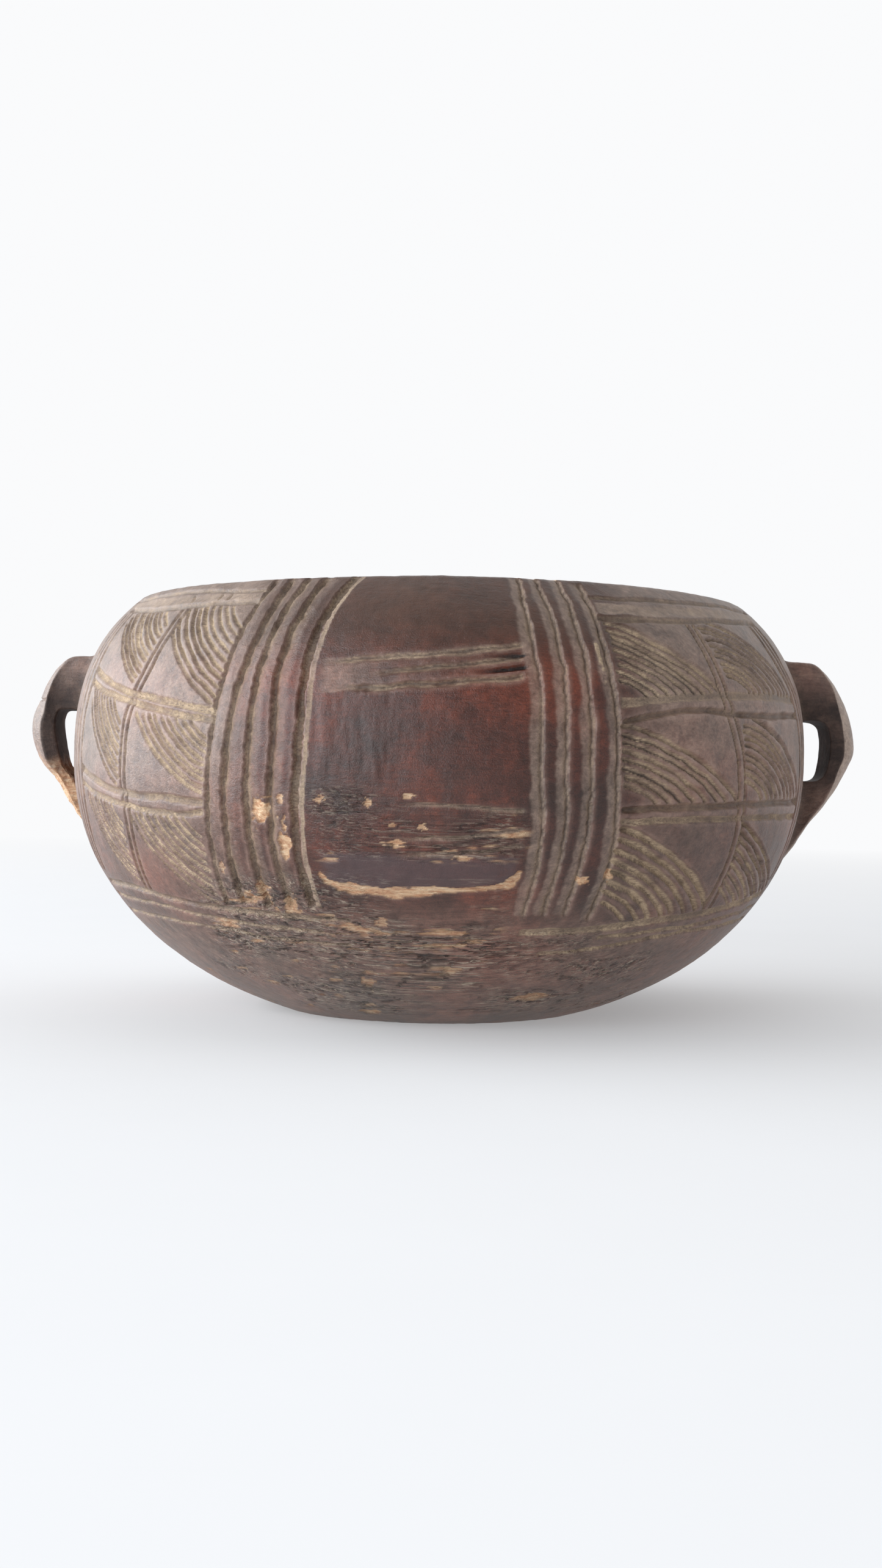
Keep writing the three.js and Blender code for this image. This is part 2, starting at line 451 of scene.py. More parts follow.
# ---- What is carved on one face ----------------------------------------------
# The gutters of the two upright bands as (azimuth, height) lines from the rim down,
# with the width of the bank beside each and its depth.
LEFT_BAND = (
    (((-28.6, 172), (-29.4, 159), (-30.8, 137), (-32.0, 117), (-33.0, 88), (-34.3, 50)), 4.2, 1.7),
    (((-25.6, 172), (-26.1, 159), (-27.6, 141), (-29.2, 119), (-30.4, 84), (-31.0, 50)), 6.2, 2.3),
    (((-22.4, 172), (-23.9, 158), (-25.3, 137), (-26.0, 117), (-26.8, 84), (-26.6, 49)), 6.2, 2.3),
    (((-19.2, 172), (-21.2, 156), (-22.4, 136), (-22.5, 112), (-23.2, 78), (-22.6, 49)), 6.2, 2.3),
)
LIP_OFFSET = 1.1  # from the last gutter's middle to its pale right lip, in degrees
LAST_GUTTER = ((-13.8, 172), (-16.8, 157), (-18.3, 137), (-18.6, 112), (-19.5, 76), (-18.9, 50))
RIGHT_BAND = (
    (((12.4, 172), (12.6, 150), (13.3, 128), (13.4, 100), (14.0, 74), (13.2, 48)), 5.2, 1.7),
    (((15.4, 172), (16.4, 150), (16.9, 128), (16.9, 100), (17.2, 74), (16.2, 48)), 5.2, 1.8),
    (((19.2, 172), (19.8, 150), (20.3, 126), (20.5, 100), (20.6, 74), (19.6, 48)), 5.4, 1.8),
    (((22.8, 170), (23.2, 152), (24.2, 122), (24.4, 98), (25.0, 72), (24.2, 46)), 5.6, 2.0),
)

LEFT_UPRIGHT = (
    (-44.6, 161.6), (-45.6, 151), (-47.6, 134), (-50.6, 117), (-51.5, 98), (-51.4, 80), (-53.2, 53),
)
RIGHT_UPRIGHT = (
    (40.0, 157.5), (41.6, 142), (43.4, 126), (46.0, 108), (46.9, 92), (47.6, 76), (47.8, 48),
)
LEFT_EDGE = ((-63.6, 163), (-64.6, 149), (-65.6, 131), (-67.2, 110), (-67.8, 86), (-71.0, 58))
RIGHT_EDGE = ((61.0, 161), (63.2, 147), (67.6, 133), (69.6, 115), (69.8, 94), (71.0, 58))

# Plain line cuts: points, half width, depth, dust.
LINES = (
    # under the rim, and the lower edge of the rim band
    (((-72, 168.2), (-60, 168.0), (-48, 168.0), (-36, 166.9), (-27, 166.2)), 1.2, 0.9, 0.5),
    (((-68, 164.2), (-55, 161.9), (-47, 161.5), (-38, 162.0), (-29, 161.6)), 1.5, 1.2, 0.5),
    (((23, 164.0), (32, 164.9), (42, 165.6), (54, 166.6), (70, 167.2)), 1.2, 0.9, 0.5),
    (((23, 156.8), (30, 156.8), (39, 157.8), (49, 159.8), (66, 161.8)), 1.5, 1.2, 0.5),
    # ticks in the rim band
    (((-43.9, 163.0), (-44.6, 166.6)), 0.9, 0.8, 0.8),
    (((-37.9, 163.0), (-37.7, 166.2)), 0.8, 0.8, 0.8),
    (((-35.7, 163.0), (-35.6, 166.2)), 0.8, 0.8, 0.8),
    # level bands across the left panel
    (
        ((-66, 140), (-61.7, 136.6), (-54.8, 131.4), (-48.6, 127.8), (-40, 124), (-31.5, 120)),
        1.5, 1.3, 1.5,
    ),
    (
        ((-66, 135), (-59.7, 130.4), (-53.4, 127), (-46, 123.4), (-38.7, 119.6), (-31.5, 117.4)),
        1.4, 1.3, 1.5,
    ),
    (((-68, 100.8), (-62, 96.2), (-55, 91.9), (-47, 89.7), (-40, 88.8), (-33.4, 87.2)), 1.5, 1.2, 0.9),
    (((-68, 95), (-60, 89.4), (-53, 86.4), (-46, 83.9), (-40, 83.2), (-33.6, 84.2)), 1.3, 1.1, 1.2),
    # level bands across the right panel
    (((24.6, 125.2), (32, 127.6), (43, 129.9), (52, 130.8), (68, 131.5)), 2.0, 0.7, 0.6),
    (((24.8, 118.6), (32, 122.6), (38, 124.2), (46, 123.2), (54, 123.6), (69, 125.4)), 1.4, 1.7, 0.4),
    (((25, 86.8), (35, 88.2), (45, 89.0), (56, 89.9), (70, 90.4)), 1.5, 1.7, 0.4),
    (((25, 82.8), (34, 83.6), (45, 84.3), (56, 84.6), (70, 84.6)), 1.4, 1.2, 1.1),
    # border under the panels
    (((-73, 54.6), (-58, 53.0), (-48, 50.8), (-36, 48.2), (-22, 46.4), (-13, 45.4)), 1.5, 1.1, 0.7),
    (((-73, 49.4), (-56, 47.6), (-44, 45.6), (-30, 42.4), (-18, 40.6)), 1.1, 0.9, 0.9),
    (((-73, 42.6), (-52, 41.4), (-38, 39.6), (-28, 37.6), (-14, 35.6)), 1.1, 0.9, 0.9),
    (((13, 41.6), (25, 42.7), (34, 44.6), (48, 47.2), (57, 50), (73, 53)), 2.0, 1.1, 1.1),
    (((27, 39.2), (36, 40.7), (46, 42.3), (57, 44.8), (73, 48)), 1.1, 0.9, 1.1),
    (((17, 33.6), (27, 35.1), (38, 37.9), (50, 40.6), (73, 42.4)), 1.2, 1.0, 1.2),
)

# Cells filled with arcs. Corners are (azimuth, height) at top left, top right, bottom right
# and bottom left. reach is how far the outermost arc runs along the level and the upright
# edge, as shares of them, and power bends the arcs: 1 is straight, 2 an ellipse.
LEFT_FAN = {"hub": "top_right", "half_width": 1.3, "depth": 1.4, "dust": 1.7, "grime": 0.3}
RIGHT_FAN = {"hub": "bottom_left", "half_width": 1.9, "depth": 2.0, "dust": 1.3, "grime": 1.1}


def fan_cell(fan_kind, corners, reach, power, count, **changes):
    shape = {"corners": corners, "reach": reach, "power": power, "count": count}
    return fan_kind | shape | changes


CELLS = (
    fan_cell(
        LEFT_FAN, ((-43.8, 161), (-29.6, 161), (-31.6, 121), (-47.4, 128.4)),
        (1.15, 0.97), 1.25, 10,
    ),
    fan_cell(LEFT_FAN, ((-61.6, 161.4), (-45.4, 161), (-48.8, 130), (-63.6, 138)), (1.1, 0.97), 1.27, 11),
    fan_cell(
        LEFT_FAN, ((-49.0, 121.4), (-32.0, 116.6), (-33.6, 89.6), (-50.8, 92)),
        (0.92, 0.98), 1.25, 9,
    ),
    fan_cell(
        LEFT_FAN, ((-63.6, 132.6), (-51.2, 124.6), (-52.4, 92.6), (-64.4, 98)),
        (1.08, 1.0), 1.25, 9,
    ),
    fan_cell(
        LEFT_FAN, ((-50.4, 83.6), (-34.2, 82.8), (-35.4, 49.6), (-52.6, 52.4)),
        (0.98, 1.0), 1.25, 9,
    ),
    fan_cell(LEFT_FAN, ((-65.0, 90.6), (-52.4, 85), (-54.2, 54.6), (-67.6, 56)), (1.0, 0.95), 1.25, 9),
    fan_cell(
        RIGHT_FAN, ((24.0, 155.8), (39.6, 156.8), (42.8, 130.6), (24.8, 126.4)),
        (1.0, 0.97), 1.35, 9,
    ),
    fan_cell(
        RIGHT_FAN, ((42.2, 157.8), (60.6, 160), (67.2, 132), (45.4, 131)),
        (0.9, 1.02), 1.77, 10, half_width=1.4,
    ),
    fan_cell(
        RIGHT_FAN, ((24.4, 118.2), (43.8, 122.2), (46.2, 90.4), (25.4, 88.2)),
        (1.0, 0.96), 1.28, 8, half_width=2.1,
    ),
    fan_cell(
        RIGHT_FAN, ((47.4, 122.2), (68.2, 123.8), (69.2, 91.4), (48.4, 90.6)),
        (0.96, 1.0), 1.48, 10, half_width=1.6,
    ),
    fan_cell(
        RIGHT_FAN, ((25.2, 82.2), (47.2, 83.4), (47.4, 48.4), (24.4, 43.8)),
        (1.02, 0.94), 1.22, 8, half_width=2.1, dust=2.0, grime=0.6,
    ),
    fan_cell(
        RIGHT_FAN, ((48.8, 83.4), (70.6, 83.6), (71.4, 53.8), (48.8, 48.6)),
        (1.03, 0.97), 1.08, 9, half_width=1.6, dust=1.6,
    ),
)

# The dusty strips between the two lines under the rim.
RIM_STRIPS = (
    ((-70, 166.0), (-58, 165.0), (-46, 164.8), (-36, 164.4), (-29, 163.8)),
    ((23.6, 160.4), (32, 160.8), (42, 161.8), (54, 163.2), (68, 164.6)),
)

# Lines across the plain middle panel: points, half width, depth, dust, fade at each end.
PANEL_LINES = (
    (((-16.4, 138.4), (-6, 140.4), (3, 142.6), (11.2, 145.4)), 2.1, 1.3, 1.0, (14, 1)),
    (((-10, 134.2), (-2, 136.2), (5, 138.6), (10.8, 140.8)), 2.0, 1.7, 0.9, (16, 1)),
    (((-15, 128.6), (-4, 130.2), (4, 132.0), (11.2, 134.4)), 2.1, 1.9, 1.0, (22, 1)),
    (((-5, 88.6), (2, 88.2), (11.4, 86.8)), 1.5, 0.9, 0.7, (12, 1)),
    (((-6, 76.0), (3, 77.4), (11.4, 80.0)), 1.4, 0.9, 0.6, (12, 1)),
    (((-6, 70.2), (3, 71.8), (11.4, 74.8)), 1.4, 0.9, 0.6, (12, 1)),
)
# The deep ends of two of them, darkened with dirt and painted shade, and the rubbed patch where their
# other ends fade out.
PANEL_WEDGES = (((5.5, 139.6), (11.6, 142.0)), ((3.5, 134.4), (11.6, 137.4)))
PANEL_FADE = ((-16.4, 133.4), (-11, 134.2), (-5, 135.4))


# How each kind of line is cut.
# The pale film a cut lays is dust and partly a painted sheen; the darkening in its deepest part is dirt
# and painted shade.
LEFT_BAND_CUT = {"shape": gutter, "dust": 0.6, "grime": 0.42, "film_and_light": 0.42, "chatter": 0.5}
RIGHT_BAND_CUT = LEFT_BAND_CUT | {
    "shape": mirrored(gutter), "dust": 0.45, "grime": 0.5, "film_and_light": 0.95, "chatter": 0.45,
}
LAST_GUTTER_CUT = {
    "half_width": 1.7, "depth": 2.0, "shape": ditch, "dust": 0.6, "grime": 0.45, "chatter": 0.5,
}
LIP_CUT = {"half_width": 1.0, "depth": 0.2, "dust": 0.6, "film_and_light": 0.9, "chatter": 0.2}
UPRIGHT_CUT = {"half_width": 1.0, "depth": 1.6, "shape": vee, "dust": 0.9, "grime": 0.8}
EDGE_CUT = {"half_width": 1.5, "depth": 1.2, "dust": 0.7, "grime": 0.4}
RIM_STRIP_CUT = {"half_width": 2.8, "depth": 0.2, "dust": 0.25, "film_and_light": 1.2}
PANEL_CUT = {"shape": mirrored(leaning), "grime": 0.7, "film_and_light": 0.5, "chatter": 0.25}
WEDGE_CUT = {"half_width": 1.3, "depth": 1.8, "dust": 0.0, "grime": 1.2, "taper": (14, 0.5)}
FADE_CUT = {"half_width": 6.5, "depth": 0.2, "dust": 0.0, "film_and_light": 0.6, "taper": (3, 20)}
# dirt and painted shade in the bottoms of the plain lines
LINE_GRIME_AND_SHADE = 0.4
PANEL_DUST = 0.7  # on the middle panel, as a share of what its table says
# The lines repeated side by side, with the degrees that each is moved by.
UPRIGHTS = ((LEFT_UPRIGHT, (0.0, 1.3)), (RIGHT_UPRIGHT, (0.0, 1.5)))
EDGES = ((LEFT_EDGE, (-4.4, -2.2, 0)), (RIGHT_EDGE, (0, 2.2, 4.4)))


def turned_by(points, degrees):
    return [(azimuth + degrees, z) for azimuth, z in points]


def carve_bands(wall, facing, rng):
    """The two bands of upright gutters."""
    for points, bank, depth in LEFT_BAND:
        carve(wall, turned_by(points, facing), rng, bank, depth, **LEFT_BAND_CUT)
    path = turned_by(LAST_GUTTER, facing)
    carve(wall, path, rng, **LAST_GUTTER_CUT)
    carve(wall, turned_by(path, LIP_OFFSET), rng, **LIP_CUT)
    for points, bank, depth in RIGHT_BAND:
        carve(wall, turned_by(points, facing), rng, bank, depth, **RIGHT_BAND_CUT)


def carve_side_panels(wall, facing, rng):
    """The lines between and round the cells, and the arcs in them."""
    for lines, cut in ((UPRIGHTS, UPRIGHT_CUT), (EDGES, EDGE_CUT)):
        for points, shifts in lines:
            for shift in shifts:
                carve(wall, turned_by(turned_by(points, shift), facing), rng, **cut)
    for points, half_width, depth, dust in LINES:
        path = turned_by(points, facing)
        carve(wall, path, rng, half_width, depth, dust=dust, grime=LINE_GRIME_AND_SHADE)
    for points in RIM_STRIPS:
        carve(wall, turned_by(points, facing), rng, **RIM_STRIP_CUT)
    for cell in CELLS:
        fan(wall, cell, facing, rng)


def carve_middle_panel(wall, facing, rng):
    """The few level lines across the plain panel."""
    for points, half_width, depth, dust, fade in PANEL_LINES:
        path = turned_by(points, facing)
        carve(wall, path, rng, half_width, depth, dust=PANEL_DUST * dust, taper=fade, **PANEL_CUT)
    for points in PANEL_WEDGES:
        carve(wall, turned_by(points, facing), rng, **WEDGE_CUT)
    carve(wall, turned_by(PANEL_FADE, facing), rng, **FADE_CUT)


def carve_face(wall, facing, rng):
    """Cuts the whole design of one face; facing is the azimuth of its middle."""
    carve_bands(wall, facing, rng)
    carve_side_panels(wall, facing, rng)
    carve_middle_panel(wall, facing, rng)


def lay_pale_film(wall, facing):
    """The pale film that greys the two side panels, the zone under the rim and the lower belly: dust,
    partly a painted sheen and painted light.
    """
    azimuth = (wall.azimuth - facing + 180) % 360 - 180
    sides = smoothstep(24, 33, np.abs(azimuth)) * (1 - smoothstep(84, 88, np.abs(azimuth)))
    near = (np.abs(azimuth) <= 90)[None, :]
    outside = wall.z < HEIGHT + 1
    carved = smoothstep(36, 56, wall.z) * (0.42 + 0.53 * smoothstep(70, 118, wall.z)) * outside
    shoulder = 0.55 * smoothstep(140, 166, wall.z) * outside
    below = 0.6 * (1 - smoothstep(34, 62, wall.z))
    film_and_light = np.maximum(sides[None, :] * carved[:, None], below[:, None])
    film_and_light = np.maximum(film_and_light, shoulder[:, None] * (0.1 + 0.9 * sides[None, :]))
    wall.haze_and_light = np.where(near, np.maximum(wall.haze_and_light, film_and_light), wall.haze_and_light)


# Patches where the front has lost its skin: azimuth, height, half length, half height,
# depth, how bare, and tilt.
FRONT_CHIPS = (
    (-24.4, 83.7, 4.8, 7.4, 1.3, 1.0, 0.0),
    (-21.2, 74.0, 3.2, 9.0, 1.2, 0.85, 0.1),
    (-21.4, 89.4, 1.8, 2.2, 0.6, 0.7, 0.0),
    (-15.8, 89.6, 2.2, 1.4, 0.5, 0.75, 0.3),
    (-9.3, 88.6, 1.6, 1.8, 0.5, 0.8, -0.4),
    (-4.1, 91.2, 2.6, 1.4, 0.5, 0.8, 0.0),
    (-1.9, 80.6, 2.0, 1.3, 0.5, 0.9, 0.0),
    (-6.0, 81.0, 2.0, 0.9, 0.4, 0.8, 0.0),
    (-5.7, 74.6, 4.2, 1.6, 0.6, 0.95, 0.0),
    (3.1, 69.3, 4.4, 1.1, 0.5, 0.8, 0.0),
    (-26.4, 55.4, 3.0, 6.4, 0.9, 0.75, 0.35),
    (-22.4, 50.4, 3.6, 4.0, 0.9, 0.75, 0.1),
    (-29.2, 54.4, 3.4, 1.6, 0.6, 0.65, 0.0),
    (-32.4, 64.0, 1.8, 2.6, 0.5, 0.5, 0.0),
    (21.1, 61.6, 3.4, 1.9, 0.6, 1.0, 0.15),
    (25.2, 63.0, 2.2, 2.0, 0.6, 0.95, -0.3),
    (1.0, 41.8, 8.5, 1.6, 0.7, 0.75, 0.0),
    (1.1, 36.5, 8.5, 1.1, 0.7, 0.65, 0.0),
    (-8.4, 45.4, 3.2, 2.2, 0.6, 0.55, 0.0),
    (-13.9, 20.7, 3.4, 2.8, 0.6, 0.6, 0.0),
)
BACK_CHIP_COUNT = 9

# Regions of torn fibres: azimuths, heights, share torn, depth, seed, how bare, how frayed.
FRONT_STREAKS = (
    ((-21, 14), (66, 97), 0.46, 0.6, 301, 0.8, 0.5),
    ((-46, 13), (22, 66), 0.46, 0.7, 305, 0.7, 0.7),
    ((8, 40), (18, 50), 0.42, 0.5, 307, 0.5, 0.8),
    ((-74, 74), (1, 46), 0.46, 0.6, 311, 0.75, 1.1),
)
BACK_STREAKS = (
    ((150, 205), (24, 60), 0.36, 0.5, 401, 0.5, 0.7),
    ((120, 240), (4, 36), 0.2, 0.35, 411, 0.3, 0.9),
)


def weather_front(wall, rng):
    """The rubbed and torn lower half of the front."""
    for azimuth, z, half_length, half_height, depth, strength, tilt in FRONT_CHIPS:
        chip(wall, azimuth, z, half_length, half_height, depth, rng, strength, tilt)
    for region in FRONT_STREAKS:
        worn_streaks(wall, *region)


def weather_back(wall, rng):
    """Scattered chips and torn fibres on the side that is turned away."""
    for _ in range(BACK_CHIP_COUNT):
        chip(
            wall,
            180 + rng.uniform(-40, 40),
            rng.uniform(38, 96),
            rng.uniform(2, 5),
            rng.uniform(1.2, 4),
            0.7,
            rng,
            rng.uniform(0.6, 1.0),
        )
    for region in BACK_STREAKS:
        worn_streaks(wall, *region)


SKIRT_EDGE = (
    (-16.6, 63), (-15.4, 60), (-11, 57.4), (-5, 56.7), (0, 58), (5.2, 58.3), (9.8, 60.2), (11.4, 64.6),
)
# Half the width of the bare wood along that edge, at shares of its length.
SKIRT_SHARES = (0, 0.15, 0.5, 0.62, 0.85, 0.94, 1)
SKIRT_WIDTHS = (0.8, 2.5, 2.7, 1.3, 1.0, 2.6, 1.0)
SKIRT_CUT = 0.6
CRUST_AZIMUTHS = (21.3, 23.2)
CRUST_HEIGHTS = (131, 147)
CRUST_CREST = (22.6, 22.0)  # azimuths of the crest's line at those heights


def bare_skirt_edge(wall, facing):
    """The bare wood along the lower edge of the dark patch on the middle panel."""
    path, _ = smooth_path(turned_by(SKIRT_EDGE, facing))
    rows, columns, offset, along = offsets_from_path(wall, path, 6.0)
    width = np.interp(along, SKIRT_SHARES, SKIRT_WIDTHS)
    place = np.ix_(rows, columns)
    ragged = 0.55 * rough_noise(wall.points[place], (5, 5, 1.3), 71)
    mask = 1 - smoothstep(0.7, 0.9, np.abs(offset) / width + ragged)
    wall.add("bare", place, 0.85 * mask)
    wall.cut[place] += SKIRT_CUT * mask


def dark_patch(wall, facing):
    """The dark smooth patch low on the middle panel."""
    rows, columns = wall.window(facing - 17.5, facing + 12.5, 56, 74)
    place = np.ix_(rows, columns)
    azimuth = (wall.azimuth[columns] - facing + 180) % 360 - 180
    inside = 1 - smoothstep(12.6, 14.2, np.abs(azimuth + 2.6))[None, :]
    edge = np.interp(azimuth, [p[0] for p in SKIRT_EDGE], [p[1] for p in SKIRT_EDGE])
    above = smoothstep(0.5, 1.5, wall.z[rows][:, None] - edge[None, :])
    ragged = 2.0 * rough_noise(wall.points[place], (9, 9, 3), 75)
    below = 1 - smoothstep(69, 72, wall.z[rows][:, None] + ragged)
    patchy = smoothstep(-0.75, -0.1, rough_noise(wall.points[place], (12, 12, 5), 77))
    wall.add("stain", place, inside * above * below * patchy)


def scraped_patch(wall):
    """1 where the middle panel's left half was scraped upright, 0 elsewhere."""
    azimuth = (wall.azimuth + 90) % 180 - 90
    across = smoothstep(-18, -16, azimuth) * (1 - smoothstep(-8, -3, azimuth))
    level = smoothstep(94, 102, wall.z) * (1 - smoothstep(128, 138, wall.z))
    return level[:, None] * across[None, :]


def mineral_streak(wall):
    """A broken line of pale crust down one crest, right of the middle panel."""
    rows, columns = wall.window(*CRUST_AZIMUTHS, *CRUST_HEIGHTS)
    place = np.ix_(rows, columns)
    points = wall.points[place]
    crest = np.interp(wall.z[rows], CRUST_HEIGHTS, CRUST_CREST)
    across = (wall.azimuth[columns][None, :] - crest[:, None]) * math.radians(1) * BELLY_RADIUS
    lumps = noise(points, (2, 2, 3.2), 81) + 0.4 * noise(points, 1.1, 82)
    crust = (1 - smoothstep(0.5, 1.2, np.abs(across))) * smoothstep(-0.1, 0.25, lumps)
    wall.add("dust", place, 2.2 * crust)
    wall.cut[place] -= 0.35 * crust


def hand_unevenness(points):
    """How far a hand-hewn surface swells from true, in mm."""
    return (
        0.7 * noise(points, 75, 11)
        + 0.3 * noise(points, 26, 12)
        + 0.1 * rough_noise(points, 8, 13)
    )


def adze_marks(points):
    """Shallow overlapping scoops left inside the hollow."""
    scoops = np.abs(noise(points, (26, 20, 16), 31)) + 0.5 * np.abs(noise(points, 11, 33))
    return -1.5 * scoops


def blurred(field, reach):
    """The mean of a ring grid over a square of cells that reaches this far each way."""
    for _ in range(2):
        rolled = sum(np.roll(field, k, axis=1) for k in range(-reach, reach + 1))
        padded = np.pad(rolled, ((reach, reach), (0, 0)), "edge")
        field = sum(padded[k : k + len(field)] for k in range(2 * reach + 1))
        field = field / (2 * reach + 1) ** 2
    return field


# ---- Meshes ---------------------------------------------------------------------
LAYOUT_MARGIN = 0.004  # left free round each slice of a bake layout, as a share of its side


def tube_corners(rings, columns):
    """Vertex numbers for the corners of a tube's sides, then of the fans that close its ends."""
    count = rings * columns
    column = np.arange(columns)
    after = (column + 1) % columns
    row = np.arange(rings - 1)[:, None] * columns
    quads = np.stack([row + column, row + after, row + columns + after, row + columns + column], -1)
    last = (rings - 1) * columns
    start_cap = np.stack([np.full(columns, count), after, column], -1)
    end_cap = np.stack([np.full(columns, count + 1), last + column, last + after], -1)
    return np.concatenate([quads.ravel(), start_cap.ravel(), end_cap.ravel()])


def bake_layout(columns, v_places, slices):
    """Where the same corners lie in a bake layout that stacks the tube's slices.

    v_places, 0 to 1, says where each ring lies in a slice.
    """
    column = np.arange(columns)
    per_slice = columns / slices
    slice_of = np.minimum((column / per_slice).astype(int), slices - 1)
    left = (column - slice_of * per_slice) / per_slice
    right = left + 1 / per_slice
    left, right = LAYOUT_MARGIN + (1 - 2 * LAYOUT_MARGIN) * np.stack([left, right])
    middle = (left + right) / 2
    low = slice_of / slices + LAYOUT_MARGIN
    level = np.asarray(v_places)[:, None] * (1 / slices - 2 * LAYOUT_MARGIN) + low
    quad_shape = (len(level) - 1, columns, 4)
    quad_u = np.broadcast_to(np.stack([left, right, right, left], -1), quad_shape)
    quad_v = np.stack([level[:-1], level[:-1], level[1:], level[1:]], -1)
    start_u = np.stack([middle, right, left], -1)
    start_v = np.stack([low - LAYOUT_MARGIN / 2, level[0], level[0]], -1)
    end_u = np.stack([middle, left, right], -1)
    end_v = np.stack([level[-1] + LAYOUT_MARGIN / 2, level[-1], level[-1]], -1)
    u = np.concatenate([quad_u.ravel(), start_u.ravel(), end_u.ravel()])
    v = np.concatenate([quad_v.ravel(), start_v.ravel(), end_v.ravel()])
    return np.stack([u, v], 1)


def tube_object(name, points, start_centre, end_centre, v_places, slices):
    """A closed skin from rings of points (rings, columns, xyz) in mm, capped at both ends."""
    rings, columns = points.shape[:2]
    vertices = np.vstack([points.reshape(-1, 3), [start_centre], [end_centre]]) * MM
    corners = tube_corners(rings, columns)
    sizes = np.r_[np.full((rings - 1) * columns, 4), np.full(2 * columns, 3)]

    mesh = bpy.data.meshes.new(name)
    mesh.vertices.add(len(vertices))
    mesh.vertices.foreach_set("co", vertices.astype(np.float32).ravel())
    mesh.loops.add(len(corners))
    mesh.loops.foreach_set("vertex_index", corners.astype(np.int32))
    mesh.polygons.add(len(sizes))
    mesh.polygons.foreach_set("loop_start", np.r_[0, np.cumsum(sizes)[:-1]].astype(np.int32))
    mesh.update(calc_edges=True)
    mesh.shade_smooth()
    layout = mesh.uv_layers.new(name="OFBake")
    places = bake_layout(columns, v_places, slices)
    layout.uv.foreach_set("vector", places.astype(np.float32).ravel())

    thing = bpy.data.objects.new(name, mesh)
    bpy.context.scene.collection.objects.link(thing)
    return thing


def paint(thing, name, values):
    """Stores a value for each ring point; the two end centres take their ring's mean."""
    layer = thing.data.attributes.new(name, "FLOAT", "POINT")
    every = np.concatenate([values.ravel(), [values[0].mean()], [values[-1].mean()]])
    layer.data.foreach_set("value", every.astype(np.float32))


def paint_all(thing, marks):
    for name, values in marks.items():
        paint(thing, name, values)


def bowl_rows():
    """The profile's rows, finest on the carved wall, and the lengths at three places along it:
    where that wall starts, at the rim's outer edge, and where the coarse hollow starts."""
    profile = bowl_profile()
    top = np.argmax(profile[:, 1])
    foot_end = profile[np.argmax(profile[:, 0] > FOOT_RADIUS - PAST_EDGE), 4]
    fine_start = np.interp(CARVING_BOTTOM, profile[:top, 1], profile[:top, 4])
    rim = profile[top, 4]
    rim_end = rim + RIM_WIDTH + PAST_EDGE
    floor_end = profile[-1, 4] - AXIS_GAP
    rows = np.vstack(
        [
            profile_rows(profile, AXIS_GAP, foot_end, PLAIN_STEP)[:-1],
            profile_rows(profile, foot_end, fine_start, UNDERSIDE_STEP)[:-1],
            profile_rows(profile, fine_start, rim_end, WALL_STEP)[:-1],
            profile_rows(profile, rim_end, floor_end, PLAIN_STEP),
        ]
    )
    return rows, fine_start, rim, rim_end


def bowl_relief(wall, lengths, past_rim, outside):
    """How far the surface stands off its true form, in mm, before the cuts are taken off."""
    hollowed = smoothstep(RIM_WIDTH, RIM_WIDTH + 25, past_rim)[:, None]
    swell = hand_unevenness(wall.points) * smoothstep(0, 30, lengths)[:, None]
    swell += hollowed * adze_marks(wall.points)
    tooled = 0.05 * rough_noise(wall.points, (3.2, 2.6, 1.4), 51) * outside
    scraped = 0.14 * rough_noise(wall.points, (4.5, 4.5, 17), 53) * outside
    scraped *= 1 + 3.2 * scraped_patch(wall)
    crumbs = 0.13 * noise(wall.points, (2.2, 2.2, 1.0), 57)
    crumbs *= np.clip(wall.dust + wall.grime + wall.bare, 0, 1)
    return swell + tooled + scraped + crumbs


def rub_rim(wall, past_rim):
    """Bare wood in patches along the rim's outer edge."""
    edge = np.exp(-(((past_rim - 0.4) / 0.9) ** 2))[:, None]
    rubbed = edge * smoothstep(-0.2, 0.5, rough_noise(wall.points, (15, 15, 3), 59))
    wall.bare = np.maximum(wall.bare, 0.85 * rubbed)


def bowl_layout(lengths, fine_start, rim_end):
    """Where each ring lies in the bake layout, 0 to 1: most of it goes to the carved wall."""
    room = np.where(lengths < fine_start, 0.5, np.where(lengths > rim_end, 0.45, 1.3))
    places = np.r_[0, np.cumsum(np.diff(lengths) * room[1:])]
    return places / places[-1]


def carved_bowl():
    rng = np.random.default_rng(CARVER_SEED)
    rows, fine_start, rim, rim_end = bowl_rows()
    wall = Wall(rows)
    for facing in (0, 180):
        carve_face(wall, facing, rng)
        lay_pale_film(wall, facing)
        bare_skirt_edge(wall, facing)
        dark_patch(wall, facing)
    weather_front(wall, rng)
    weather_back(wall, rng)
    mineral_streak(wall)

    lengths = rows[:, 4]
    past_rim = lengths - rim
    inside = smoothstep(2, 6, past_rim)[:, None] + 0 * wall.cut
    outside = 1 - inside
    height = bowl_relief(wall, lengths, past_rim, outside) - wall.cut
    rub_rim(wall, past_rim)
    points = wall.points + wall.normals * height[..., None]
    points[..., 2] = np.maximum(points[..., 2], 0)  # it stands on the floor
    start = [0, 0, rows[0, 1]]
    end = [0, 0, rows[-1, 1]]
    v_places = bowl_layout(lengths, fine_start, rim_end)
    bowl = tube_object("carved_bowl", points, start, end, v_places, 2)
    marks = {name: getattr(wall, name) for name in ("grime", "haze_and_light", "bare", "fray", "stain")}
    marks["dust"] = np.clip(wall.dust, 0, MOST_DUST)
    marks["ridge"] = np.clip((blurred(wall.cut, 3) - wall.cut) * 1.6, -1, 1) * outside
    marks["umber"] = smoothstep(128, 158, wall.z)[:, None] * outside
    marks["inside"] = inside
    paint_all(bowl, marks)
    return bowl


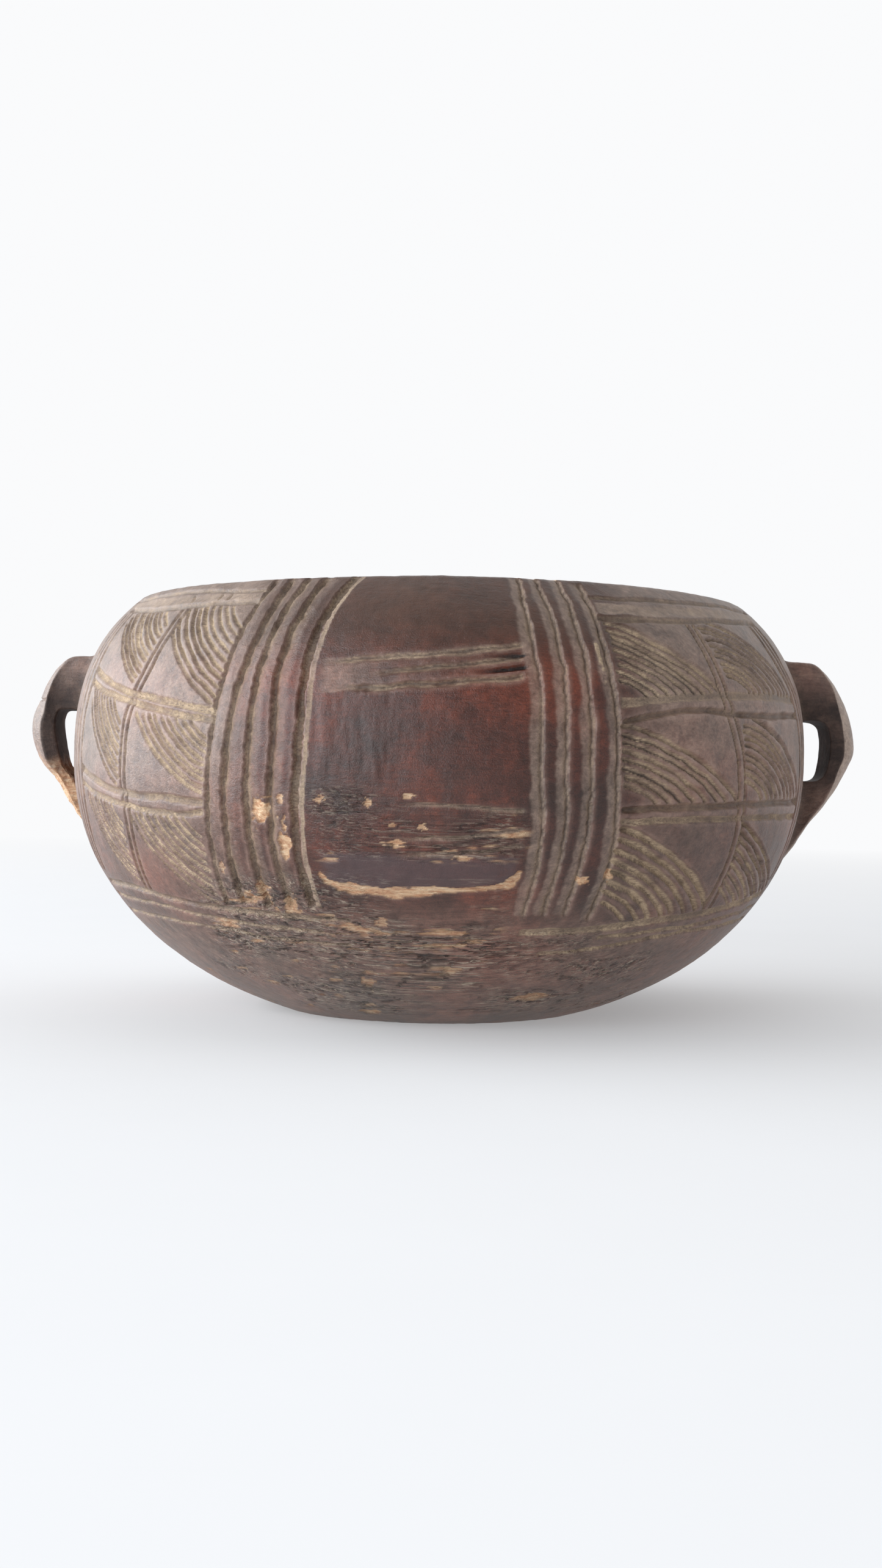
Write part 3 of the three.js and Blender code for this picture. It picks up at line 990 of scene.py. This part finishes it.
# ---- Handles --------------------------------------------------------------------
# Each handle in side view, from its upper root to its tail: the outer line and the slot's
# line, as (distance from the bowl's axis, height).
RIGHT_OUTER = (
    (141, 150), (155, 150.2), (161, 149.6), (167.4, 144.4), (172.2, 137.6), (176.2, 129.4),
    (178.6, 120.6), (179.2, 112), (176.6, 105.4), (171.5, 95.9), (165.8, 87.7), (160, 80.7),
    (152.5, 70.3), (143, 59),
)
RIGHT_INNER = (
    (141, 125), (155, 125), (160.6, 124.9), (163.6, 124.2), (165.6, 122.4), (166.5, 119.2),
    (166.9, 115.6), (166.7, 111), (166.1, 106.6), (165.0, 102.4), (162.4, 99.8), (158, 99.2),
    (151, 98.6), (143, 98),
)
LEFT_OUTER = (
    (141, 148), (154, 148.4), (159.6, 148.0), (165.0, 144.2), (169.6, 137.6), (173.2, 129.3),
    (176.0, 122.6), (176.6, 115), (174.6, 107.6), (171.2, 101.2), (166.2, 95.4), (162.0, 88.6),
    (156.8, 80.0), (146, 66),
)
LEFT_INNER = (
    (141, 125.4), (154, 125.4), (160.2, 125.2), (163.4, 124.6), (164.8, 121.6), (165.0, 118.6),
    (164.8, 115.0), (164.0, 110.8), (163.0, 106.4), (161.4, 101.4), (158.6, 97.6), (156.4, 93),
    (152, 87), (146, 82),
)
# Half the handle's depth and how far its outer face falls to its edges, at the same stations.
HALF_DEPTHS = (15, 13.6, 13, 13, 13, 13, 13, 13, 12.8, 12.2, 11.2, 10, 8.6, 8)
CROWNS = (0.5, 0.8, 2.0, 4.6, 6.4, 7.0, 7.0, 6.8, 5.6, 4.2, 3.4, 2.8, 2.2, 2)
RING_STEPS = 220
HANDLE_STATIONS = 260
SLOT_FACE_SHARE = 0.86  # the slot's face is narrower than the outer face by this
MOST_CROWN = 0.62  # of the strap's thickness
CRACK_HEIGHT = 129.2  # of the split across the left handle
CORNER_WEAR = 3  # ring steps each way that the corners are worn round over


def handle_section(half_depth, thickness, crown):
    """One closed ring of (depth, height above the slot's line) with its corners worn round."""
    outer_y = np.linspace(1, -1, 60)
    side = np.linspace(1, 0, 30)[1:]
    edge = 1 - crown / thickness
    outer = np.stack([outer_y * half_depth, thickness - crown * outer_y**2], 1)
    back_y = SLOT_FACE_SHARE + (1 - SLOT_FACE_SHARE) * side
    back = np.stack([-half_depth * back_y, thickness * edge * side], 1)
    inner_y = np.linspace(-SLOT_FACE_SHARE, SLOT_FACE_SHARE, 50)[1:]
    inner = np.stack([inner_y * half_depth, 0 * inner_y], 1)
    front = back[::-1] * [-1, 1]
    ring = np.vstack([outer, back, inner, front[1:]])
    closed = np.vstack([ring, ring[:1]])
    length = length_along(closed)
    even = sampled(closed, length, np.linspace(0, length[-1], RING_STEPS, endpoint=False))
    span = range(-CORNER_WEAR, CORNER_WEAR + 1)
    return sum(np.roll(even, k, axis=0) for k in span) / len(span)


def handle_rings(outer, inner, places):
    """The plain strap on the +X side: one ring of points at each station along it."""
    outer_line = through(outer, places)
    inner_line = through(inner, places)
    sizes = through(np.stack([HALF_DEPTHS, CROWNS], 1), places)
    rings = np.empty((len(places), RING_STEPS, 3))
    for k, (half_depth, crown) in enumerate(sizes):
        thickness = np.linalg.norm(outer_line[k] - inner_line[k])
        section = handle_section(half_depth, thickness, min(crown, MOST_CROWN * thickness))
        across = (outer_line[k] - inner_line[k]) / thickness
        spot = inner_line[k] + section[:, 1:] * across
        rings[k] = np.stack([spot[:, 0], section[:, 0], spot[:, 1]], 1)
    return rings


def ring_normals(rings):
    """Directions straight out of a strap's surface."""
    along = np.gradient(rings, axis=0)
    around = np.roll(rings, -1, axis=1) - np.roll(rings, 1, axis=1)
    normals = np.cross(around, along)
    return normals / (np.linalg.norm(normals, axis=-1, keepdims=True) + 1e-9)


def gnawed_root(rings, normals, seed):
    """The lower root torn to bare wood, and one level crack above: relief in mm, and bareness."""
    low = 1 - smoothstep(96, 106, rings[..., 2] + 4 * noise(rings, 7, seed + 9))
    ragged = rough_noise(rings, (6, 3.2, 5), seed + 11)
    crack = np.abs(rings[..., 2] - CRACK_HEIGHT - 1.2 * noise(rings, 6, seed + 15))
    on_outer_face = normals[..., 0] > 0.5
    relief = low * (1.3 * ragged - 0.5)
    relief -= 0.9 * np.clip(1 - crack / 0.7, 0, 1) * on_outer_face
    return relief, low * smoothstep(-0.5, 0.1, ragged + 0.3)


def handle(name, outer, inner, side, seed, film_and_light, gnawed=False):
    """A strap handle on the side +1 (right) or -1 (left), with a pale film that is partly painted light:
    the outer face, turned away from the bowl, is made paler.
    """
    places = np.linspace(0, 1, HANDLE_STATIONS)
    rings = handle_rings(outer, inner, places)
    normals = ring_normals(rings)
    radius = np.hypot(rings[..., 0], rings[..., 1])
    joint = np.exp(-np.clip(radius - outer_radius(rings[..., 2]), 0, 40) / 1.6)
    height = 1.1 * joint * (radius > 120)
    height += 0.35 * noise(rings, 14, seed) + 0.18 * rough_noise(rings, 5, seed + 2)
    height += 0.06 * rough_noise(rings, (1.6, 3, 3), seed + 5)
    bare = 0 * height
    if gnawed:
        relief, bare = gnawed_root(rings, normals, seed)
        height += relief
    ridge = np.clip(-2.0 * (blurred(height, 4) - height), -1, 1)
    edge = smoothstep(0.35, 0.9, np.abs(np.gradient(normals, axis=1)).sum(-1) * 3)
    rings = rings + normals * height[..., None]
    turned = rings * [side, side, 1]
    thing = tube_object(name, turned, turned[0].mean(0), turned[-1].mean(0), places, 1)
    outward = smoothstep(0.3, 0.75, normals[..., 0])
    # painted shade, with soot: between these heights the faces that do not turn outward, away from the
    # bowl, are darkened
    shade_band = smoothstep(92, 104, rings[..., 2]) * (1 - smoothstep(128, 146, rings[..., 2]))
    marks = {
        "dust": 0.25 * joint,
        # painted shade where the handle joins the wall, along with the dirt there
        "grime": 0.5 * joint,
        # painted light, with dust: a pale film over the strap, and more on the outer face
        "haze_and_light": 0.7 + film_and_light * outward,
        "soot_and_shade": (1 - outward) * (1 - bare) * shade_band,
        "bare": bare,
        "umber": 0.15 + 0 * bare,
        "ridge": np.maximum(ridge, 0.6 * edge),
    }
    paint_all(thing, marks)
    return thing


# ---- Materials --------------------------------------------------------------------
def linear(red, green, blue):
    """A colour from the usual 0 to 255 numbers, as the shaders want it."""
    shares = [value / 255 for value in (red, green, blue)]
    return tuple(s / 12.92 if s <= 0.04045 else ((s + 0.055) / 1.055) ** 2.4 for s in shares) + (1,)


# The oiled skin from its darkest to its reddest, and torn wood likewise, as colour ramps.
SKIN = ((0.38, linear(52, 30, 23)), (0.50, linear(76, 40, 30)), (0.62, linear(108, 52, 35)))
TORN_WOOD = (
    (0.25, linear(152, 100, 70)),
    (0.42, linear(194, 146, 110)),
    (0.58, linear(220, 186, 150)),
    (0.8, linear(242, 224, 196)),
)
# What a colour is multiplied by along the fibres, in specks, and in the used hollow.
GRAIN = ((0.25, (0.62, 0.62, 0.64, 1)), (0.75, (1.36, 1.34, 1.32, 1)))
SPECKS = ((0.3, (0.7, 0.7, 0.7, 1)), (0.7, (1.32, 1.32, 1.32, 1)))
USE = ((0.4, (0.62, 0.58, 0.56, 1)), (0.6, (1.2, 1.18, 1.14, 1)))
# Single colours, and pairs that a noise runs between.
RUBBED_RIDGE = linear(134, 104, 92)
DRY_WOOD = (linear(84, 60, 47), linear(138, 108, 86))
UMBER = (linear(42, 28, 20), linear(84, 52, 36))
STAIN = (linear(62, 45, 47), linear(88, 68, 68))
# the pale film: dust, partly a painted sheen and painted light
FILM_AND_LIGHT = linear(180, 158, 142)
# soot, and painted shade on the handles' faces that do not turn outward
SOOT_AND_SHADE = linear(34, 24, 22)
# dirt, and painted shade in groove bottoms, cracks and where the handles join the wall
GRIME_AND_SHADE = linear(38, 28, 24)
DUST = (linear(150, 126, 102), linear(214, 190, 160))
RAISED_FIBRES = linear(186, 170, 150)
CRACKS = linear(36, 27, 24)
PAINTED = (
    "ridge", "inside", "umber", "stain", "haze_and_light", "soot_and_shade", "grime", "dust", "fray", "bare",
)
SHEEN = 0.54
BUMP_HEIGHT = 0.0006
BUMP_STRENGTH = 0.8

FLOOR_TINTS = ((0.52, 0.52, 0.527, 1), (0.533, 0.533, 0.54, 1))
FLOOR_GLOW = (0.957, 0.962, 0.972, 1)
FLOOR_FADE = (0.6, 2.2)  # where the floor starts and ends turning white, in metres
BLACK = (0, 0, 0, 1)


class Nodes:
    """Short ways to add the shader nodes used here."""

    def __init__(self, tree):
        self.tree = tree

    def add(self, kind, inputs=None, **settings):
        node = self.tree.nodes.new("ShaderNode" + kind)
        for key, value in settings.items():
            setattr(node, key, value)
        for key, value in (inputs or {}).items():
            self.feed(node.inputs[key], value)
        return node

    def feed(self, socket, value):
        if isinstance(value, bpy.types.NodeSocket):
            self.tree.links.new(value, socket)
        else:
            socket.default_value = value

    def attribute(self, name):
        return self.add("Attribute", attribute_name=name).outputs["Fac"]

    def place(self, stretch=(1, 1, 1)):
        """Object coordinates in millimetres, divided by stretch along each axis."""
        where = self.add("TexCoord").outputs["Object"]
        scale = tuple(1 / MM / s for s in stretch)
        return self.add("Mapping", {"Vector": where, "Scale": scale}).outputs["Vector"]

    def noise(self, place, size, detail=4.0, roughness=0.6, distortion=0.0):
        inputs = {
            "Vector": place,
            "Scale": 1 / size,
            "Detail": detail,
            "Roughness": roughness,
            "Distortion": distortion,
        }
        return self.add("TexNoise", inputs).outputs["Fac"]

    def math(self, operation, a, b=0.0, clamp=False):
        node = self.add("Math", operation=operation, use_clamp=clamp)
        self.feed(node.inputs[0], a)
        self.feed(node.inputs[1], b)
        return node.outputs[0]

    def times(self, *values):
        total = values[0]
        for value in values[1:]:
            total = self.math("MULTIPLY", total, value)
        return total

    def span(self, value, low, high, to_low=0.0, to_high=1.0):
        """Maps low..high onto to_low..to_high, clamped."""
        inputs = {
            "Value": value,
            "From Min": low,
            "From Max": high,
            "To Min": to_low,
            "To Max": to_high,
        }
        return self.add("MapRange", inputs).outputs["Result"]

    def ramp(self, value, *stops):
        node = self.add("ValToRGB", {"Fac": value})
        elements = node.color_ramp.elements
        while len(elements) < len(stops):
            elements.new(0.5)
        for element, (position, colour) in zip(elements, stops):
            element.position = position
            element.color = colour
        return node.outputs["Color"]

    def mix(self, share, a, b, blend="MIX"):
        node = self.add("Mix", data_type="RGBA", blend_type=blend)
        self.feed(node.inputs[0], share)
        self.feed(node.inputs[6], a)
        self.feed(node.inputs[7], b)
        return node.outputs[2]

    def blend(self, share, a, b):
        """The same for plain numbers."""
        node = self.add("Mix", data_type="FLOAT")
        self.feed(node.inputs[0], share)
        self.feed(node.inputs[2], a)
        self.feed(node.inputs[3], b)
        return node.outputs[0]


def new_material(name):
    """A material, the nodes to fill it with, and its surface shader's inputs."""
    material = bpy.data.materials.new(name)
    material.use_nodes = True
    tree = material.node_tree
    return material, Nodes(tree), tree.nodes["Principled BSDF"].inputs


def wood_textures(n):
    """The noises that the wood's colour and relief are made from."""
    everywhere = n.place()
    return SimpleNamespace(
        fibre=n.noise(n.place((9, 1, 1)), 1.1, 5, 0.7),
        long_fibre=n.noise(n.place((44, 1, 1)), 0.7, 3, 0.6),
        split=n.noise(n.place((26, 1, 1)), 2.2, 4, 0.6),
        speck=n.noise(everywhere, 0.5, 2),
        mottle=n.noise(everywhere, 7, 8, 0.72, 0.3),
        cloud=n.noise(everywhere, 42, 4, 0.55),
        crumb=n.noise(n.place((2.6, 1, 1)), 0.8, 4, 0.75),
    )


def wood_cover(n, t, painted):
    """How much each layer covers the skin, 0 to 1: what was painted, broken up by noise."""
    worn = n.times(n.span(painted.ridge, 0.15, 0.8), n.span(t.mottle, 0.35, 0.62, 0.15, 0.7))
    film_and_light = n.times(n.span(t.mottle, 0.3, 0.68, 0.2, 0.95), n.span(t.fibre, 0.3, 0.7, 0.35, 0.8))
    dust = n.times(n.span(t.crumb, 0.3, 0.56, 0.15, 1.0), n.span(t.mottle, 0.3, 0.6, 0.5, 1.0))
    raised = n.times(n.span(t.long_fibre, 0.52, 0.6), n.span(t.mottle, 0.36, 0.6, 0.1, 0.9))
    off_middle = n.math("ABSOLUTE", n.math("SUBTRACT", t.split, 0.5))
    torn = n.span(t.crumb, 0.25, 0.5, 0.6, 1.0)
    return SimpleNamespace(
        ridge=worn,
        dry=n.times(painted.inside, 0.8),
        umber=n.times(painted.umber, n.span(t.cloud, 0.35, 0.6, 0.6, 0.95)),
        stain=n.times(painted.stain, 0.85),
        film_and_light=n.times(painted.haze_and_light, film_and_light),
        soot_and_shade=n.times(painted.soot_and_shade, n.span(t.mottle, 0.3, 0.7, 0.95, 0.6)),
        grime=n.times(painted.grime, n.span(t.crumb, 0.3, 0.6, 0.6, 0.95)),
        dust=n.math("MULTIPLY", n.times(painted.dust, dust), 0.95, clamp=True),
        raised=n.times(painted.fray, raised),
        cracks=n.times(painted.fray, n.span(off_middle, 0.0, 0.022, 0.85, 0.0)),
        bare=n.math("MULTIPLY", painted.bare, torn, clamp=True),
    )


def wood_colour(n, t, cover):
    """The oiled skin with each layer laid over the last."""
    tone = n.math("ADD", n.times(t.cloud, 0.62), n.times(t.mottle, 0.38))
    colour = n.ramp(tone, *SKIN)
    for value, factors in ((t.fibre, GRAIN), (t.speck, SPECKS)):
        colour = n.mix(1.0, colour, n.ramp(value, *factors), "MULTIPLY")
    hollow = n.mix(1.0, n.mix(t.fibre, *DRY_WOOD), n.ramp(t.cloud, *USE), "MULTIPLY")
    for share, layer in (
        (cover.ridge, RUBBED_RIDGE),
        (cover.dry, hollow),
        (cover.umber, n.mix(t.mottle, *UMBER)),
        (cover.stain, n.mix(t.mottle, *STAIN)),
        (cover.film_and_light, FILM_AND_LIGHT),
        (cover.soot_and_shade, SOOT_AND_SHADE),
        (cover.grime, GRIME_AND_SHADE),
        (cover.dust, n.mix(t.speck, *DUST)),
        (cover.raised, RAISED_FIBRES),
        (cover.cracks, CRACKS),
        (cover.bare, n.ramp(t.fibre, *TORN_WOOD)),
    ):
        colour = n.mix(share, colour, layer)
    return colour


def wood_roughness(n, t, painted, cover):
    """The skin's own sheen, duller under each layer."""
    rough = n.span(t.mottle, 0.3, 0.7, 0.3, 0.44)
    for share, roughness in (
        (cover.film_and_light, 0.52),
        (n.times(painted.soot_and_shade, 0.9), 0.8),
        (cover.dust, 0.92),
        (n.times(painted.inside, 0.6), 0.7),
        (cover.bare, 0.78),
    ):
        rough = n.blend(share, rough, roughness)
    return rough


def wood_relief(n, t, painted, cover):
    """Fibres, specks and mottle everywhere, and crumbs where something loose lies."""
    loose = n.math("ADD", n.math("ADD", cover.dust, cover.bare), painted.grime, clamp=True)
    relief = n.times(t.fibre, 0.5)
    for part in (
        n.times(t.speck, 0.35),
        n.times(t.crumb, loose, 0.9),
        n.times(cover.raised, 0.8),
        n.times(cover.cracks, -1.0),
        n.times(t.mottle, 0.7),
    ):
        relief = n.math("ADD", relief, part)
    inputs = {"Height": relief, "Distance": BUMP_HEIGHT, "Strength": BUMP_STRENGTH}
    return n.add("Bump", inputs).outputs["Normal"]


def old_wood(name):
    """Dark oiled wood with worn ridges, dusty grooves, dry fibres and bare chips."""
    material, n, surface = new_material(name)
    t = wood_textures(n)
    painted = SimpleNamespace(**{name: n.attribute(name) for name in PAINTED})
    cover = wood_cover(n, t, painted)
    n.feed(surface["Base Color"], wood_colour(n, t, cover))
    n.feed(surface["Roughness"], wood_roughness(n, t, painted, cover))
    n.feed(surface["Normal"], wood_relief(n, t, painted, cover))
    surface["Specular IOR Level"].default_value = SHEEN
    return material


def white_floor():
    """A pale, faintly glowing floor that turns into even white far away: no horizon shows."""
    material, n, surface = new_material("floor_white")
    spot = n.add("TexCoord").outputs["Object"]
    distance = n.add("VectorMath", {0: spot}, operation="LENGTH").outputs["Value"]
    far = n.span(distance, *FLOOR_FADE)
    tint = n.mix(n.noise(n.place(), 60, 3), *FLOOR_TINTS)
    n.feed(surface["Base Color"], n.mix(far, tint, BLACK))
    n.feed(surface["Emission Color"], FLOOR_GLOW)
    n.feed(surface["Emission Strength"], n.span(far, 0.0, 1.0, 0.3, 1.0))
    surface["Roughness"].default_value = 0.8
    surface["Specular IOR Level"].default_value = 0
    return material


# ---- The object -------------------------------------------------------------------
wood = old_wood("old_oiled_wood")
bowl = carved_bowl()
# the right handle's outer face is made paler, with more painted light, than the left's
right_handle = handle("worn_right_handle", RIGHT_OUTER, RIGHT_INNER, side=1, seed=501, film_and_light=1.4)
left_handle = handle(
    "worn_left_handle", LEFT_OUTER, LEFT_INNER, side=-1, seed=601, film_and_light=0.35, gnawed=True
)
for piece, node, slot in (
    (bowl, "bowl_body", "carved_wood"),
    (right_handle, "right_handle", "handle_wood"),
    (left_handle, "left_handle", "handle_wood"),
):
    piece.data.materials.append(wood)
    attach(piece, "root")
    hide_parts(node)


# ---- Studio -----------------------------------------------------------------------
CAMERA_PLACE = (0.0007, -0.768, 0.0956)
CAMERA_ROLL = math.radians(0.89)
FOCAL_LENGTH = 40.62
FRAME_HEIGHT = 36.0
FLOOR_REACH = 8.0
# from straight behind the camera (direction -Y) round to the sides
ROOM_BRIGHTNESS = {"From Min": -0.6, "From Max": 0.02, "To Min": 0.12, "To Max": 1.0}
ROOM_COLOUR = (0.985, 0.99, 1, 1)
SEEN_BRIGHTNESS = 0.972
WINDOW_COLOUR = (0.89, 0.95, 1.0)
WINDOW_AIM = (0, 0, 0.1)
WINDOWS = (  # name, place, size in metres, watts
    ("window_left", (-2.4, 0.15, 0.75), (3.4, 1.5), 94),
    ("window_front_left", (-1.45, -2.2, 0.8), (1.7, 1.5), 47),
)


def add_camera():
    lens = bpy.data.cameras.new("camera")
    lens.sensor_fit = "VERTICAL"
    lens.sensor_height = FRAME_HEIGHT
    lens.lens = FOCAL_LENGTH
    camera = bpy.data.objects.new("camera", lens)
    camera.location = CAMERA_PLACE
    camera.rotation_euler = Euler((math.pi / 2, -CAMERA_ROLL, 0))
    bpy.context.scene.collection.objects.link(camera)
    bpy.context.scene.camera = camera


def add_floor():
    mesh = bpy.data.meshes.new("floor")
    r = FLOOR_REACH
    mesh.from_pydata([(-r, -r, 0), (r, -r, 0), (r, r, 0), (-r, r, 0)], [], [(0, 1, 2, 3)])
    floor = bpy.data.objects.new("floor", mesh)
    bpy.context.scene.collection.objects.link(floor)
    mesh.materials.append(white_floor())


def add_window(name, place, size, power):
    lamp = bpy.data.lights.new(name, "AREA")
    lamp.shape = "RECTANGLE"
    lamp.size, lamp.size_y = size
    lamp.energy = power
    lamp.color = WINDOW_COLOUR
    light = bpy.data.objects.new(name, lamp)
    light.location = place
    direction = Vector(WINDOW_AIM) - Vector(place)
    light.rotation_euler = direction.to_track_quat("-Z", "Y").to_euler()
    light.visible_camera = False
    bpy.context.scene.collection.objects.link(light)


def add_world():
    """A white room, dim behind the camera, that the camera itself sees as plain white."""
    world = bpy.data.worlds.new("white_room")
    bpy.context.scene.world = world
    world.use_nodes = True
    n = Nodes(world.node_tree)
    generated = n.add("TexCoord").outputs["Generated"]
    depth = n.add("SeparateXYZ", {"Vector": generated}).outputs["Y"]
    lit = n.add("MapRange", {"Value": depth} | ROOM_BRIGHTNESS).outputs["Result"]
    seen = n.add("LightPath").outputs["Is Camera Ray"]
    background = world.node_tree.nodes["Background"].inputs
    n.feed(background["Strength"], n.blend(seen, lit, SEEN_BRIGHTNESS))
    background["Color"].default_value = ROOM_COLOUR


bpy.context.scene.view_settings.view_transform = "Standard"
add_camera()
add_floor()
add_world()
for window in WINDOWS:
    add_window(*window)
